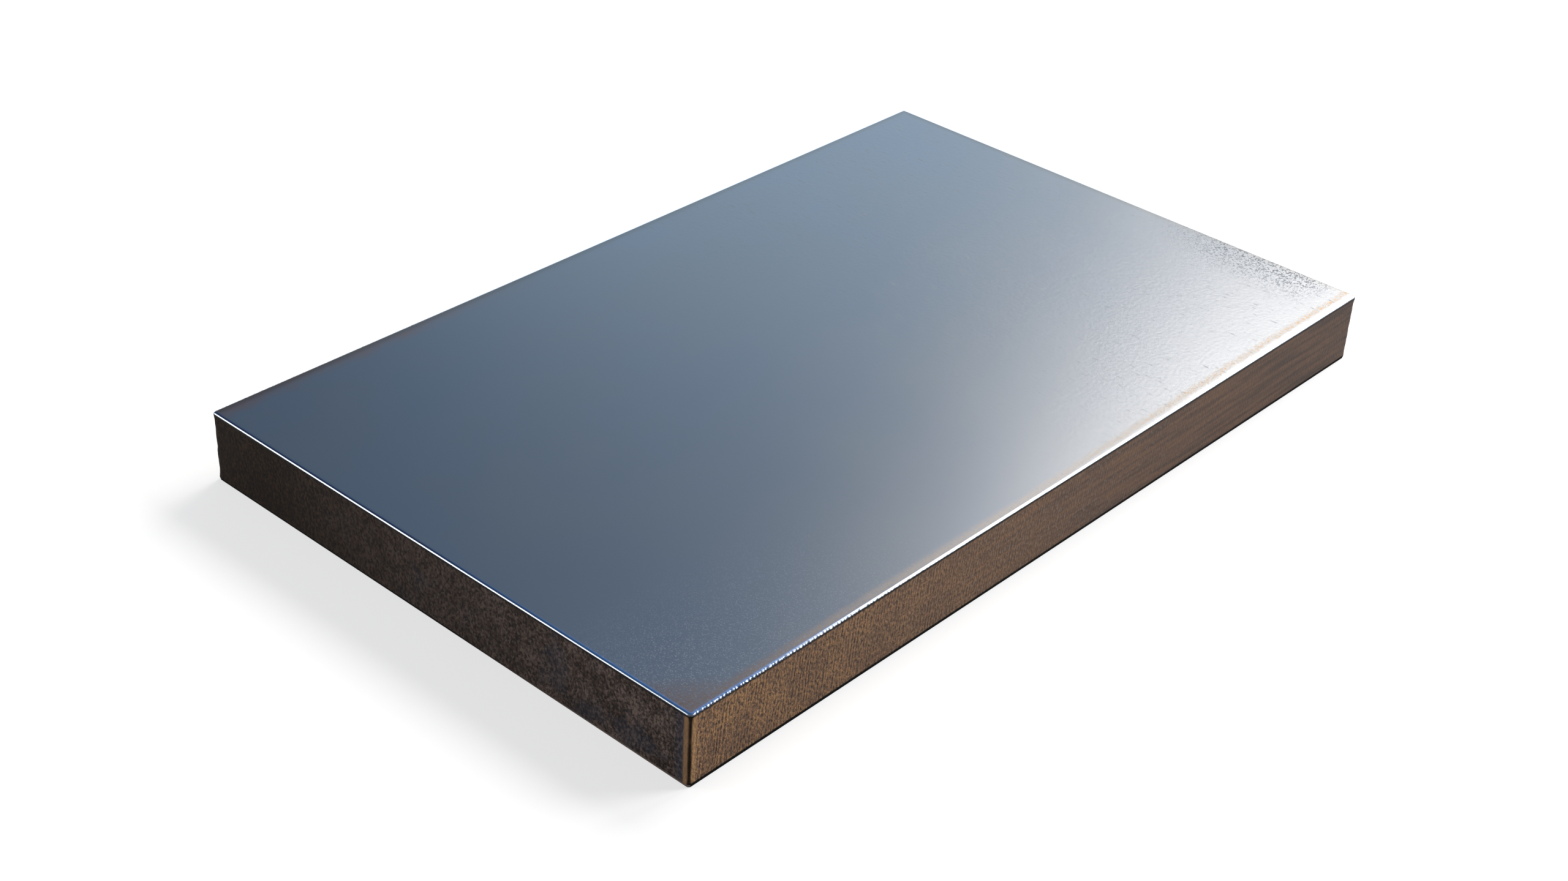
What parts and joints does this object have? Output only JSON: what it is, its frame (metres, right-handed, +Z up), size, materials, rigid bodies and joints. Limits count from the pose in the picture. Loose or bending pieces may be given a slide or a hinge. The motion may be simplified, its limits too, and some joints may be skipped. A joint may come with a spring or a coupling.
{
  "type": "steel plate",
  "caption": "Thick rectangular steel plate blank, as rolled on its faces and flame cut on its sides, lying flat.",
  "frame": {"origin": "the middle of the underside, which lies on the floor", "axes": "+X along the length, +Y across the width, +Z up through the thickness"},
  "size_m": [0.4, 0.25, 0.03],
  "materials": {
    "mill_scale_steel": "satin blue-grey mill scale on the rolled faces, rusted brown flame-cut sides"
  },
  "bodies": {
    "root": {"steel_plate": "mill_scale_steel"}
  },
  "joints": []
}
